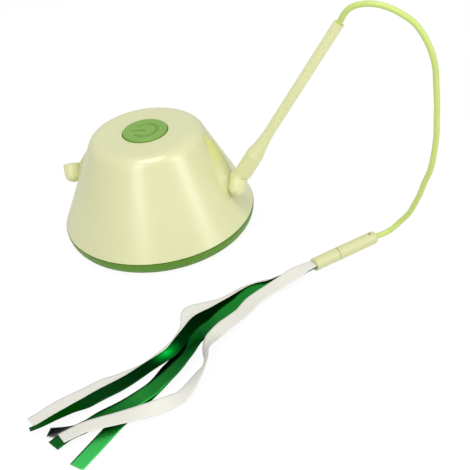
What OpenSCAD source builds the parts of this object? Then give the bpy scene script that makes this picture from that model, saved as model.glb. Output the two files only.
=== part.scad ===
// Rotating cat toy: a cone-shaped head turns on a low tray and swings a wand with a ribbon lure.
// The wand socket lies on +X, the axis of turning is Z, and the table is the plane z = 0.

/* [Base tray] */
// Radius of the tray at its rim
base_r = 55; // [52:0.5:60]
// Radius of the tray's flat underside
under_r = 50.5; // [47:0.5:52]
// Height of the tray's rim above the table
rim_z = 8; // [7:0.5:10]
// Height of the tray's underside above the table
under_z = 0.6; // [0.5:0.1:1.2]
// Thickness of the tray's floor
floor_t = 2; // [1.6:0.1:2.4]
// Radius of one rubber foot
foot_r = 5; // [3.5:0.5:6]

/* [Head shell] */
// Height of the head's flat top above the table
top_z = 59.4; // [59:0.2:64]
// Lean of the cone's side from the vertical, in degrees
side_lean = 25.4; // [22:0.2:27]
// Wall thickness of the shell
shell_wall = 2.2; // [1.6:0.1:2.6]
// Radius of the round between the side and the top
top_round = 8; // [5:0.5:10]
// Running gap between the tray's rim and the shell
seam_gap = 0.5; // [0.3:0.1:1]

/* [Button] */
// Radius of the button cap
button_r = 12.7; // [11.5:0.1:14]
// Height of the cap above the top of the head
button_rise = 0.8; // [0.4:0.1:1.5]
// Travel of the button
button_travel = 1.5; // [1:0.1:1.6]
// Gap between the cap and its hole
button_gap = 0.3; // [0.2:0.05:0.5]

/* [Wand sockets] */
// Level distance of a socket's mouth from the cone
socket_stand = 9.45; // [9:0.05:10.4]
// Height of a socket's mouth
socket_z = 34.2; // [32:0.2:36]
// Outward lean of a socket, in degrees
socket_lean = 10; // [8:1:13]
// Backward lean of a socket, in degrees
socket_back = 22; // [18:1:25]
// Outer radius of a socket
socket_r = 4.9; // [4.7:0.1:5.4]
// Radius of the bore that takes the wand
bore_r = 2.55; // [2.2:0.05:2.8]
// Depth of that bore
bore_depth = 6.5; // [5:0.5:7]
// Radius of the round tongue between a socket and the shell
tongue_r = 3.9; // [3.4:0.1:4.2]
// Backward lean of that tongue, in degrees
tongue_back = 14; // [11:1:17]
// Height of the tongue's upper end before it leans
tongue_top_z = 55; // [53:0.2:55.4]

/* [Wand] */
// Lean of the stick from the vertical, in degrees
wand_lean = 33.2; // [28:0.2:36]
// Length of the wand above its elbow
wand_len = 107; // [95:1:115]
// Radius of the thick grip end
grip_r = 4.7; // [4:0.1:5]
// Length of the thick grip end
grip_len = 17; // [12:1:20]
// Length of the taper from the grip to the stick
taper_len = 13; // [8:1:18]
// Radius of the stick
stick_r = 2.75; // [2.4:0.05:3]
// Radius of the tip
tip_r = 2.65; // [2.3:0.05:2.8]

/* [Cord and lure] */
// Radius of the cord
cord_r = 1.5; // [1.2:0.1:1.7]
// Radius of the connector
connector_r = 3.5; // [3.4:0.1:4]
// Length of the connector's half on the cord
upper_len = 25; // [20:1:30]
// Length of the connector's half that holds the ribbons
lower_len = 15; // [12:1:20]
// Radius of the plug between the two halves
plug_r = 1.95; // [1.6:0.05:2.2]
// Width of a ribbon
ribbon_w = 7.5; // [6:0.5:8]
// Thickness of a ribbon
ribbon_t = 0.3; // [0.25:0.01:0.32]

/* [Drive] */
// Gear module
gear_module = 1; // [0.9:0.05:1.05]
// Teeth on the head's hub
hub_teeth = 28; // [24:4:32]
// Teeth on the motor's pinion
pinion_teeth = 12; // [12:1:14]
// Radius of the journal that the head turns on
journal_r = 8; // [7.6:0.1:8.4]
// Radius of the motor's output shaft
shaft_r = 1.5; // [1.2:0.1:1.6]
// Width of the motor across its flats
motor_w = 10; // [9:0.5:11]
// Width of the motor across its round sides
motor_l = 12; // [11:0.5:13]
// Length of the motor can
can_len = 15; // [14:0.5:16]
// Length of the reduction gearbox
gearbox_len = 9; // [8.5:0.25:9.5]

/* [Cells] */
// Diameter of one cell
cell_d = 10.5; // [10:0.1:10.7]
// Length of one cell
cell_len = 44.5; // [43:0.5:45]

/* [Fits] */
// Radial clearance of a running fit
run_fit = 0.05; // [0.03:0.01:0.08]
// Clearance of a piece in its seat
seat_fit = 0.15; // [0.1:0.05:0.2]
// Shank radius of a screw
screw_r = 1.1; // [0.9:0.05:1.2]

/* [Hidden] */
$fn = 64;

// Colours of the mouldings and fittings
cream = [0.88, 0.89, 0.69];
leaf_green = [0.37, 0.58, 0.16];
lime = [0.78, 0.88, 0.45];
satin_white = [0.9, 0.89, 0.85];
foil_green = [0.08, 0.38, 0.14];
foil_bright = [0.2, 0.66, 0.3];
frame_grey = [0.82, 0.82, 0.8];
steel = [0.75, 0.76, 0.78];
board_green = [0.1, 0.35, 0.2];
black = [0.12, 0.12, 0.13];

// Side of the cone: points with r cos(lean) + z sin(lean) = side_k
side_k = base_r * cos(side_lean) + rim_z * sin(side_lean);
function cone_r(z, inset = 0) = (side_k - inset - z * sin(side_lean)) / cos(side_lean);
round_z = top_z - top_round;
round_r = cone_r(round_z, top_round);
ceiling_z = top_z - shell_wall;

// Tray and battery box
floor_z = under_z + floor_t;
lip_h = 3;
lip_t = 1.6;
lip_gap = 0.6;
lip_r = cone_r(rim_z + lip_h, shell_wall) - lip_gap;
box_wall = 1.6;
cell_room = 0.5;
cell_pitch = cell_d + cell_room;
cell_count = 3;
contact_room = 3.5;
cells_w = cell_count * cell_pitch;
cells_l = cell_len + 2 * contact_room;
cell_z = floor_z + 0.3 + cell_d / 2;
box_top = cell_z + cell_d / 2 + 0.4 + box_wall;
door_gap = 0.25;
ear_t = 1.2;
ear_r = 4;
ear_post = 8;
hook_w = 11;
hook_l = 1.8;
hook_t = 1;
hook_in = 1.2;
grip_ribs = 5;
grip_rib_w = 16;
grip_rib_t = 0.9;
grip_rib_deep = 0.5;
grip_pitch = 2;
grip_in = 14;
door_screw_len = 6.5;
ear_y = cells_l / 2 + 4.5;
post_r = 3.5;
post_ring = 38;
post_angles = [35, 145, 215, 325];
foot_ring = 43.5;
foot_sink = 0.5;

// Inner frame and motor
frame_t = 2;
frame_z = box_top;
frame_top = frame_z + frame_t;
frame_r = 42;
motor_gap = 0.2;
motor_z = box_top + motor_gap;
gearbox_z = motor_z + can_len;
shaft_z = gearbox_z + gearbox_len;
gear_dist = gear_module * (hub_teeth + pinion_teeth) / 2;
gear_face = 5;
gear_z = shaft_z + 0.5;
clamp_t = 1.2;
clamp_h = 5;
clamp_z = gearbox_z + (gearbox_len - clamp_h) / 2;
clamp_post = 5;
clamp_gap = 0.1;
clamp_x = motor_l / 2 + clamp_t + 0.4 + clamp_post / 2;
clamp_screw_len = clamp_t + 2.3;
shaft_sunk = 3.5;
gusset_l = 14;
gusset_h = 14;
gusset_low = 3;
gusset_t = 1.6;

// Main board on two standoffs, and the frame's wire holes
board_t = 1.6;
board_w = 34;
board_d = 16;
board_y = 31;
standoff_h = 4;
standoff_r = 2.4;
standoff_x = 13;
standoff_y = 24;
board_z = frame_top + standoff_h;
wire_hole_r = 6;
wire_hole_ring = 27;
frame_screw_len = 9;
board_screw_len = 5;

// Hub and tower, hung from the shell's ceiling
boss_len = 8.2;
boss_r = 3;
boss_ring = 19.5;
boss_angles = [30, 150, 270];
flange_t = 2;
hub_screw_len = flange_t + 6;
flange_z = ceiling_z - boss_len - flange_t;
flange_top = flange_z + flange_t;
flange_r = 23;
sleeve_r = journal_r + run_fit + 2.2;
washer_t = 0.8;
sleeve_z = gear_z - 1.6;
shoulder_z = sleeve_z - washer_t - run_fit;
shoulder_r = journal_r + 2.5;
clip_t = 0.8;
clip_gap = 0.2;
clip_z = flange_top + clip_gap;
groove_depth = 0.7;
tower_top = flange_top + 2.2;
tower_bore = journal_r - 2.2;
wire_bore = tower_bore - 1.6;
switch_z = flange_top - 2.4;
switch_board_t = 1;
switch_w = 7;
switch_h = 4;
plunger_r = 1.7;
plunger_rise = button_travel + 0.5;
plunger_sunk = 2;
plunger_gap = 0.1;

// Button and its spring
cap_lip_t = 1.2;
cap_lip = 1.2;
lip_rest = 0.05;
cap_lip_z = ceiling_z - lip_rest - cap_lip_t;
cap_skin = 2;
cap_skirt = 1.7;
sign_r = 6.9;
sign_w = 1.6;
sign_bar = 9;
sign_deep = 0.5;
sign_turn = 193;
sign_gap = 39;
stem_r = 2.2;
spring_wire = 0.8;
spring_turns = 4;
spring_r = button_r;
spring_low = flange_top + spring_wire / 2 + 0.05;
spring_high = cap_lip_z - spring_wire / 2 - 0.05;

// Wand sockets: the cup hangs under its mouth, and the tongue bends up the cone in a leaning plane
socket_reach = cone_r(socket_z) + socket_stand;
nose_z = bore_depth - 0.5;
tongue_bend = 22.3;
tongue_end = 60;
tongue_foot = 9;
tongue_depth = 1;
tongue_crest = tongue_bend + tongue_r;
tongue_x = cone_r(tongue_top_z) - tongue_crest * cos(tongue_end);
tongue_z = tongue_top_z - tongue_crest * sin(tongue_end);
slot_spare = 2.6;
neck_r = 4.3;
socket_screw_y = -2.8;
socket_screw_z = socket_z - 8;
socket_screw_len = 7.5;
pad_x = cone_r(socket_screw_z, shell_wall) - 1.4;
pad_len = 2.2;
pad_r = 3.2;
head_r = 2;
head_t = 1.4;

// Wand
collar_t = 1.6;
rest_gap = 0.05;
elbow_z = collar_t + rest_gap;
spigot_r = bore_r - run_fit;
spigot_len = bore_depth - 0.4;
tip_hole = 6;
grip_shift = 1.3;
function lean_dir(a) = [sin(a), 0, cos(a)];
mouth = [socket_reach, 0, socket_z];
mouth_dir = [cos(socket_back) * sin(socket_lean), sin(socket_back), cos(socket_back) * cos(socket_lean)];
wand_dir = lean_dir(wand_lean);
elbow = mouth + elbow_z * mouth_dir + grip_shift * [wand_dir[2], 0, -wand_dir[0]];
wand_tip = elbow + wand_len * wand_dir;

// Connector on the table
connector_x = 15;
connector_y = -1.2;
connector_end = [wand_tip[0] + connector_x, connector_y, connector_r];
connector_turn = 228.5;
connector_dir = [cos(connector_turn), sin(connector_turn), 0];
plug_len = 8;
cord_hole = 7;
lure_root = connector_end + (upper_len + lower_len) * connector_dir;
slot_depth = 8;

// Route of the cord over its arch: x from the wand's tip, y, and height as a share of the tip's height
cord_arch = [[3.43, -0.5, 1.048], [6.93, -1, 1.072], [11.43, -1.5, 1.084], [15.93, -2, 1.088],
    [20.93, -2.5, 1.084], [25.93, -3, 1.072], [30.93, -3.5, 1.052], [35.43, -4, 1.028],
    [38.93, -4.5, 0.996], [41.93, -5, 0.956], [44.43, -5.5, 0.908], [45.93, -5.5, 0.851],
    [46.43, -5.5, 0.779], [46.93, -5.5, 0.707], [46.93, -5.5, 0.643], [46.93, -5.5, 0.578],
    [46.43, -5.5, 0.518], [45.43, -5.5, 0.458], [43.93, -4.5, 0.398], [40.93, -2.5, 0.329],
    [38.43, 0, 0.261], [35.43, 2.5, 0.197], [31.93, 4.5, 0.133], [27.43, 5, 0.084],
    [22.93, 3.5, 0.048], [18.93, 1.5, 0.032]];
cord_route = concat(
    [wand_tip - (tip_hole - 0.5) * wand_dir, wand_tip],
    [for (p = cord_arch) [wand_tip[0] + p[0], p[1], p[2] * wand_tip[2]]],
    [connector_end, connector_end + (cord_hole - 0.5) * connector_dir]);

// Routes of the ribbons on the table: x and y from the root of the lure, and the ribbon's roll in degrees
white_front_route = [[-6, -8, -12], [-13, -18, -6], [-20, -28.5, -3], [-23.5, -35.5, -3],
    [-25.5, -44, 0], [-28, -51, -2], [-31, -58.5, -3], [-33, -66.5, 4], [-32.5, -73, 25],
    [-31.5, -78.5, 50], [-30.5, -82, 64], [-29.5, -86.5, 60], [-30, -91, 44], [-31.5, -98, 24],
    [-33.5, -104, 8], [-38, -110, -10], [-44, -115, -16], [-52, -119.5, -8], [-61, -124.5, 0],
    [-70, -130.5, 5], [-74, -134.5, 7], [-78.5, -140, 10]];
white_back_route = [[-16.5, -16, 1], [-22, -19, 2], [-30, -25, 1], [-37.5, -36, 1], [-44.5, -43, -4],
    [-50, -47.5, -6], [-52, -51, -4], [-49, -60.5, 0], [-49, -70, 1], [-51.5, -78, 1], [-57.5, -89, 1],
    [-63.5, -95, 1], [-70, -100, 0], [-76, -104, 0], [-81.5, -110.5, 0], [-86.5, -116, 0],
    [-91.5, -122.5, 0], [-95, -128.5, 2], [-98, -133, 2]];
green_left_route = [[-16.5, -17.5, 1], [-26.5, -24, 3], [-34, -36, 0], [-39.5, -45.5, 0],
    [-45, -55, -3], [-47, -65, 2], [-48, -70.5, 2], [-49.5, -78.5, 4], [-52.5, -84, 5], [-57, -90, 4],
    [-62.5, -97.5, 1], [-67.5, -104, -3], [-73, -110, -2], [-78, -116.5, 1], [-82.5, -122.5, 15],
    [-87, -128.5, 22], [-91.5, -135, 29], [-95, -138.5, 31]];
green_middle_route = [[-17, -20.5, 0], [-24.5, -25.5, -7], [-27.5, -30, -7], [-30, -37, -5],
    [-33.5, -46, -5], [-36.5, -55, 0], [-39.5, -62, 0], [-41, -68.5, 9], [-40.5, -76.5, 25],
    [-41, -82, 20], [-43, -88, 10], [-45.5, -94.5, 5], [-48.5, -100, 2], [-52, -107, -7],
    [-58.5, -115.5, -3], [-65.5, -123.5, -2], [-72.5, -131.5, 1], [-77, -137.5, 6], [-80.5, -144, 5]];
green_dark_route = [[-16.5, -17.5, 0], [-25.5, -25, 0], [-32.5, -36.5, 0], [-37.5, -46.5, 0],
    [-42.5, -57, 0], [-45, -66.5, 0], [-45.5, -76, 0], [-46, -84, 5], [-48, -90, 3], [-49.5, -96, 2],
    [-51.5, -101, 2], [-54.5, -105.5, 1], [-60.5, -113.5, 0], [-67.5, -121.5, 0], [-71.5, -127.5, 0],
    [-75.5, -132, 1], [-80.5, -134.5, 3], [-87, -136.5, 18]];
green_bright_route = [[-16.5, -17.5, 0], [-25.5, -25.5, 0], [-31.5, -37, 0], [-35.5, -47.5, 0],
    [-39.5, -58, 0], [-42.5, -68, 0], [-43.5, -77, 0], [-45.5, -86, 0], [-48.5, -96, 0],
    [-52.5, -106.5, 0], [-56.5, -116, 0], [-59.5, -124, 0], [-63, -137, 0], [-66.5, -150.5, 2]];
layer_low = 0.5;
layer_step = 0.6;
ribbon_layers = 6;
stack_step = 0.36;
settle_run = 40;
crest_h = 3;
crest_start = 35;
crest_run = 100;
rib_root_w = 5.4;
widen_run = 15;
slot_w = rib_root_w + 0.4;
slot_h = (ribbon_layers - 1) * stack_step + ribbon_t + 0.2;

// Tube swept along a line of points, closed at both ends; the sides from number turned on are split along
// the other diagonal, so that both faces of a twisted strip bend alike
function unit(v) = v / norm(v);
function heading(p, i) = unit(p[min(i + 1, len(p) - 1)] - p[max(i - 1, 0)]);
function tube_side(t) = unit(cross(abs(t[1]) < 0.9 ? [0, 1, 0] : [1, 0, 0], t));
function tube_ring(p, i, r, n) =
    let (t = heading(p, i), a = tube_side(t), b = cross(t, a))
    [for (k = [0:n - 1]) p[i] + r * (cos(360 * k / n) * a + sin(360 * k / n) * b)];
function ring_faces(rings, n, turned) = concat(
    [for (i = [0:rings - 2], k = [0:n - 1], h = [0:1])
        let (a = i * n + k, b = i * n + (k + 1) % n)
        k < turned ? (h == 0 ? [a, a + n, b + n] : [a, b + n, b])
            : (h == 0 ? [a, a + n, b] : [a + n, b + n, b])],
    [for (k = [1:n - 2]) [0, k, k + 1]],
    [for (k = [1:n - 2]) let (e = (rings - 1) * n) [e, e + k + 1, e + k]]);
module tube(points, r, sides) {
    rings = [for (i = [0:len(points) - 1]) each tube_ring(points, i, r, sides)];
    polyhedron(rings, ring_faces(len(points), sides, sides));
}

// Smooth curve through hand-chosen points, with the same number of steps in each span
function spline_at(p, i, t) =
    let (n = len(p) - 1, a = p[max(i - 1, 0)], b = p[i], c = p[min(i + 1, n)], d = p[min(i + 2, n)])
    0.5 * (2 * b + (c - a) * t + (2 * a - 5 * b + 4 * c - d) * pow(t, 2)
        + (3 * b - a - 3 * c + d) * pow(t, 3));
function spline(p, steps) = concat(
    [for (i = [0:len(p) - 2], s = [0:steps - 1]) spline_at(p, i, s / steps)],
    [p[len(p) - 1]]);

// Height of a ribbon layer over the table: stacked in the connector, then settled, with a shared low wave
function smooth(t) = let (u = min(max(t, 0), 1)) u * u * (3 - 2 * u);
function run_from_root(x, y) =
    let (out = [x - lure_root[0], y - lure_root[1], 0])
    out * connector_dir > 0 ? norm(out) : 0;
function wave(d) = crest_h * (1 - cos(360 * min(max((d - crest_start) / crest_run, 0), 1))) / 2;
function layer_z(layer, d) =
    let (stacked = connector_r + (layer - (ribbon_layers - 1) / 2) * stack_step,
         settled = layer_low + layer * layer_step)
    stacked + (settled - stacked) * smooth(d / settle_run) + wave(d);
function ribbon_width(d) = rib_root_w + (ribbon_w - rib_root_w) * smooth(d / widen_run);
function ribbon_ring(p, i, layer) =
    let (t = heading([for (q = p) [q[0], q[1], 0]], i), side = [-t[1], t[0], 0],
         half = ribbon_width(run_from_root(p[i][0], p[i][1])) / 2, roll = p[i][2],
         flat = half * cos(roll), rise = half * sin(roll),
         over = ribbon_t / 2 * (cos(roll) * [0, 0, 1] - sin(roll) * side),
         l = [p[i][0], p[i][1], 0] + flat * side, r = [p[i][0], p[i][1], 0] - flat * side,
         lz = l + [0, 0, layer_z(layer, run_from_root(l[0], l[1])) + abs(rise) + rise],
         rz = r + [0, 0, layer_z(layer, run_from_root(r[0], r[1])) + abs(rise) - rise])
    [lz + over, rz + over, rz - over, lz - over];
module ribbon(route, layer, steps = 2) {
    root = lure_root - (slot_depth - 1) * connector_dir;
    laid = [for (q = route) [lure_root[0] + q[0], lure_root[1] + q[1], q[2]]];
    line = spline(concat([[root[0], root[1], 0], [lure_root[0], lure_root[1], 0]], laid), steps);
    rings = [for (i = [0:len(line) - 1]) each ribbon_ring(line, i, layer)];
    polyhedron(rings, ring_faces(len(line), 4, 2));
}

// Half section of the cone's solid, inset from its outer face
module cone_half(inset, low_z) {
    r = top_round - inset;
    polygon([[0, low_z], [cone_r(low_z, inset), low_z],
        [round_r + r * cos(side_lean), round_z + r * sin(side_lean)],
        [round_r, round_z], [round_r, top_z - inset], [0, top_z - inset]]);
    translate([round_r, round_z]) circle(r);
}
module cone_solid(inset, low_z) {
    rotate_extrude($fn = 128) cone_half(inset, low_z);
}

// Copies of a child at angles on a ring
module on_ring(radius, angles) {
    for (a = angles) rotate(a) translate([radius, 0, 0]) children();
}

// Flat-headed screw with its head's face on z = 0 and its shank down -z
module flat_screw(length, r = screw_r) {
    cone_t = 1.3;
    translate([0, 0, -cone_t]) cylinder(cone_t, r, r + cone_t);
    translate([0, 0, -length]) cylinder(length - cone_t, r, r);
}
module flat_screw_hole(length, r = screw_r) {
    cone_t = 1.3;
    translate([0, 0, -cone_t]) cylinder(cone_t + 0.01, r + seat_fit, r + cone_t + seat_fit + 0.01);
    translate([0, 0, -length]) cylinder(length, r + seat_fit, r + seat_fit);
}
// Round-headed screw with the seat of its head on z = 0 and its shank down -z
module pan_screw(length, r = screw_r) {
    translate([0, 0, -length]) cylinder(length, r, r);
    difference() {
        cylinder(head_t, head_r, head_r * 0.85);
        translate([0, 0, head_t - 0.5]) cube([head_r * 1.5, 0.5, 1.1], center = true);
        translate([0, 0, head_t - 0.5]) cube([0.5, head_r * 1.5, 1.1], center = true);
    }
}

// Coil spring as one tube
module coil(r, wire, low, high, turns) {
    per_turn = 16;
    line = [for (i = [0:turns * per_turn])
        [r * cos(360 * i / per_turn), r * sin(360 * i / per_turn),
            low + (high - low) * i / (turns * per_turn)]];
    tube(line, wire / 2, 6);
}

// Involute spur gear, with a tooth or a gap on +X
pressure = 25;
addendum = 0.8;
dedendum = 1;
backlash = 0.1;
function involute(a) = tan(a) * 180 / PI - a;
function half_tooth(r, pitch_r, teeth) =
    let (base = pitch_r * cos(pressure), slack = backlash / pitch_r * 180 / PI)
    90 / teeth - slack + involute(pressure) - (r > base ? involute(acos(base / r)) : 0);
module gear_outline(teeth, tooth_first) {
    pitch_r = gear_module * teeth / 2;
    low = pitch_r - dedendum * gear_module;
    radii = [for (k = [0:4]) low + (dedendum + addendum) * gear_module * k / 4];
    shift = tooth_first ? 0 : 180 / teeth;
    polygon([for (n = [0:teeth - 1]) each concat(
        [for (k = [0:4]) let (a = 360 * n / teeth + shift - half_tooth(radii[k], pitch_r, teeth))
            radii[k] * [cos(a), sin(a)]],
        [for (k = [4:-1:0]) let (a = 360 * n / teeth + shift + half_tooth(radii[k], pitch_r, teeth))
            radii[k] * [cos(a), sin(a)]])]);
}

// Moulded tray: rounded bowl with an upright lip inside the shell, battery box, posts and foot pockets
module base_tray() {
    color(leaf_green) difference() {
        union() {
            rotate_extrude($fn = 128) polygon(concat(
                [[0, under_z]],
                [for (k = [0:8]) [under_r + (base_r - under_r) * sin(k * 90 / 8),
                    rim_z - (rim_z - under_z) * cos(k * 90 / 8)]],
                [[lip_r, rim_z], [lip_r, rim_z + lip_h], [lip_r - lip_t, rim_z + lip_h],
                [lip_r - lip_t, floor_z], [0, floor_z]]));
            translate([-cells_w / 2 - box_wall, -cells_l / 2 - box_wall, under_z])
                cube([cells_w + 2 * box_wall, cells_l + 2 * box_wall, box_top - under_z]);
            on_ring(post_ring, post_angles) translate([0, 0, under_z])
                cylinder(box_top - under_z, post_r, post_r);
            translate([0, ear_y, under_z]) cylinder(ear_post, post_r, post_r);
        }
        translate([-cells_w / 2, -cells_l / 2, under_z - 1])
            cube([cells_w, cells_l, box_top - box_wall - under_z + 1]);
        on_ring(post_ring, post_angles) translate([0, 0, box_top - 8])
            cylinder(9, screw_r + run_fit, screw_r + run_fit);
        on_ring(foot_ring, [45:90:315]) translate([0, 0, under_z - 1])
            cylinder(1 + foot_sink, foot_r + seat_fit, foot_r + seat_fit);
        translate([0, ear_y, under_z - 1])
            cylinder(1 + ear_t + seat_fit, ear_r + door_gap, ear_r + door_gap);
        translate([-ear_r - door_gap, cells_l / 2 - 1, under_z - 1])
            cube([2 * (ear_r + door_gap), ear_y - cells_l / 2 + 1, 1 + ear_t + seat_fit]);
        translate([0, ear_y, under_z]) cylinder(ear_post - 1, screw_r + run_fit, screw_r + run_fit);
        translate([-hook_w / 2 - 0.5, -cells_l / 2 - hook_l - 0.4, floor_z - hook_t - seat_fit])
            cube([hook_w + 1, hook_l + hook_in, hook_t + 2 * seat_fit]);
    }
}

// Four feet under the rim and one under the button, in the middle of the door
module rubber_feet() {
    color(black) {
        on_ring(foot_ring, [45:90:315]) cylinder(under_z + foot_sink, foot_r - 0.4, foot_r);
        cylinder(under_z + foot_sink, foot_r - 0.4, foot_r);
    }
}

// Battery door with a tongue at one end, a screwed ear at the other and a row of grip ribs
module battery_door() {
    color(leaf_green) difference() {
        union() {
            translate([-cells_w / 2 + door_gap, -cells_l / 2 + door_gap, under_z])
                cube([cells_w - 2 * door_gap, cells_l - 2 * door_gap, floor_t]);
            translate([-hook_w / 2, -cells_l / 2 - hook_l, floor_z - hook_t])
                cube([hook_w, hook_l + hook_in, hook_t]);
            translate([0, ear_y, under_z]) cylinder(ear_t, ear_r, ear_r);
            translate([-ear_r, cells_l / 2 - 2, under_z])
                cube([2 * ear_r, ear_y - cells_l / 2 + 2, ear_t]);
        }
        translate([0, ear_y, under_z]) rotate([180, 0, 0]) flat_screw_hole(door_screw_len - 1);
        for (k = [0:grip_ribs - 1])
            translate([-grip_rib_w / 2, cells_l / 2 - grip_in + grip_pitch * k, under_z - 1])
                cube([grip_rib_w, grip_rib_t, 1 + grip_rib_deep]);
        translate([0, 0, under_z - 1]) cylinder(1 + foot_sink, foot_r + seat_fit, foot_r + seat_fit);
    }
}

module door_screw() {
    color(steel) translate([0, ear_y, under_z]) rotate([180, 0, 0]) flat_screw(door_screw_len);
}

// Three cells side by side, each turned end for end from the next
module battery_cells() {
    color([0.25, 0.3, 0.35]) for (k = [0:cell_count - 1])
        translate([(k - 1) * cell_pitch, 0, cell_z]) rotate([90, 0, k * 180])
            rotate_extrude() polygon([[0, -cell_len / 2], [cell_d / 2 - 0.4, -cell_len / 2],
                [cell_d / 2, -cell_len / 2 + 0.4], [cell_d / 2, cell_len / 2 - 1.2],
                [cell_d / 2 - 0.4, cell_len / 2 - 0.8], [1.9, cell_len / 2 - 0.8], [1.9, cell_len / 2],
                [0, cell_len / 2]]);
}

// A flat plate at each cell's button end and a coil spring on a plate at the other
module battery_contacts() {
    plate = 8;
    plate_t = 0.4;
    reach = cells_l / 2 - plate_t - 0.05;
    color(steel) for (k = [0:cell_count - 1]) translate([(k - 1) * cell_pitch, 0, cell_z])
        rotate(k * 180) {
        translate([-plate / 2, -reach - plate_t, -plate / 2]) cube([plate, plate_t, plate]);
        translate([0, -cell_len / 2 - 0.05, 0]) rotate([90, 0, 0])
            cylinder(reach - cell_len / 2, 1.2, 2.6);
        translate([-plate / 2, reach, -plate / 2]) cube([plate, plate_t, plate]);
        translate([0, cell_len / 2 + 0.05 - 0.4, 0]) rotate([-90, 0, 0])
            coil(2.9, 0.6, 0.75, reach - cell_len / 2 + 0.2, 3);
    }
}

// Inner frame: plate on the tray's posts, motor cradle, board standoffs and the hollow tower that
// the head turns on
module inner_frame() {
    color(frame_grey) difference() {
        union() {
            translate([0, 0, frame_z]) cylinder(frame_t, frame_r, frame_r);
            translate([0, 0, frame_z]) cylinder(shoulder_z - frame_z, shoulder_r, shoulder_r);
            translate([0, 0, frame_z]) cylinder(tower_top - frame_z, journal_r, journal_r);
            for (a = [0, 45, 135, 180]) rotate(a) translate([shoulder_r - 1, gusset_t / 2, frame_z])
                rotate([90, 0, 0]) linear_extrude(gusset_t)
                    polygon([[0, 0], [gusset_l, 0], [gusset_l, gusset_low], [0, gusset_h]]);
            for (s = [-1, 1])
                translate([s * clamp_x - clamp_post / 2, gear_dist - clamp_post / 2, frame_z])
                    cube([clamp_post, clamp_post, clamp_z + clamp_h - frame_z]);
            for (s = [-1, 1]) translate([s * standoff_x, -standoff_y, frame_z])
                cylinder(frame_t + standoff_h, standoff_r, standoff_r);
        }
        translate([0, 0, frame_z - 1]) cylinder(tower_top, wire_bore, wire_bore);
        translate([0, 0, switch_z - switch_board_t]) cylinder(tower_top, tower_bore, tower_bore);
        translate([0, 0, clip_z]) difference() {
            cylinder(clip_t + 2 * clip_gap, journal_r + 1, journal_r + 1);
            cylinder(clip_t + 2 * clip_gap, journal_r - groove_depth, journal_r - groove_depth);
        }
        translate([-motor_l / 2 - seat_fit, gear_dist - motor_w / 2 - seat_fit, frame_z - 1])
            cube([motor_l + 2 * seat_fit, motor_w + 2 * seat_fit, frame_t + 2]);
        on_ring(post_ring, post_angles) translate([0, 0, frame_z - 1])
            cylinder(frame_t + 2, screw_r + seat_fit, screw_r + seat_fit);
        for (s = [-1, 1]) translate([s * standoff_x, -standoff_y, frame_top])
            cylinder(standoff_h + 1, screw_r + run_fit, screw_r + run_fit);
        for (s = [-1, 1]) translate([s * clamp_x, gear_dist, clamp_z + clamp_h / 2]) rotate([-90, 0, 0])
            cylinder(clamp_post, screw_r + run_fit, screw_r + run_fit);
        on_ring(wire_hole_ring, [180, 0]) translate([0, 0, frame_z - 1])
            cylinder(frame_t + 2, wire_hole_r, wire_hole_r);
    }
}

// Screws of the frame and of the main board
module frame_screws() {
    color(steel) {
        on_ring(post_ring, post_angles) translate([0, 0, frame_top]) pan_screw(frame_screw_len);
        for (s = [-1, 1]) translate([s * standoff_x, -standoff_y, board_z + board_t])
            pan_screw(board_screw_len);
    }
}

module motor_can() {
    color(steel) translate([0, gear_dist, motor_z]) intersection() {
        cylinder(can_len, motor_l / 2, motor_l / 2);
        translate([-motor_l / 2, -motor_w / 2, 0]) cube([motor_l, motor_w, can_len]);
    }
}

// Reduction gearbox: two plates on pillars round its wheels, with the bearing hole of the output shaft
module gearbox_case() {
    plate_t = 1;
    pillar_in = 1.2;
    pillar_r = 0.9;
    wheels_r = 3.6;
    color([0.8, 0.68, 0.35]) translate([0, gear_dist, gearbox_z]) difference() {
        union() {
            for (z = [0, gearbox_len - plate_t]) translate([-motor_l / 2, -motor_w / 2, z])
                cube([motor_l, motor_w, plate_t]);
            for (x = [-1, 1], y = [-1, 1])
                translate([x * (motor_l / 2 - pillar_in), y * (motor_w / 2 - pillar_in), 0])
                    cylinder(gearbox_len, pillar_r, pillar_r);
            translate([0, 0, plate_t]) cylinder(gearbox_len - 2 * plate_t - 0.5, wheels_r, wheels_r);
        }
        translate([0, 0, gearbox_len - shaft_sunk - 0.5])
            cylinder(shaft_sunk + 2, shaft_r + run_fit, shaft_r + run_fit);
    }
}

// Strap that holds the gearbox against the frame's two posts
module motor_clamp() {
    out_y = motor_w / 2 + clamp_gap;
    in_x = motor_l / 2 + clamp_gap;
    in_y = clamp_post / 2;
    wing = clamp_x + clamp_post / 2;
    color(steel) translate([0, gear_dist, clamp_z]) difference() {
        union() {
            translate([-in_x - clamp_t, out_y, 0]) cube([2 * (in_x + clamp_t), clamp_t, clamp_h]);
            for (s = [-1, 1]) translate([s > 0 ? in_x : -in_x - clamp_t, in_y, 0])
                cube([clamp_t, out_y - in_y + clamp_t, clamp_h]);
            for (s = [-1, 1]) translate([s > 0 ? in_x : -wing, in_y, 0])
                cube([wing - in_x, clamp_t, clamp_h]);
        }
        for (s = [-1, 1]) translate([s * clamp_x, in_y - 1, clamp_h / 2]) rotate([-90, 0, 0])
            cylinder(clamp_t + 2, screw_r + seat_fit, screw_r + seat_fit);
    }
}

module clamp_screws() {
    color(steel) for (s = [-1, 1])
        translate([s * clamp_x, gear_dist + clamp_post / 2 + clamp_t, clamp_z + clamp_h / 2])
            rotate([-90, 0, 0]) pan_screw(clamp_screw_len);
}

module motor_shaft() {
    color(steel) translate([0, gear_dist, shaft_z - shaft_sunk])
        cylinder(shaft_sunk + gear_z - shaft_z + gear_face + 0.3, shaft_r, shaft_r);
}

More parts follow.
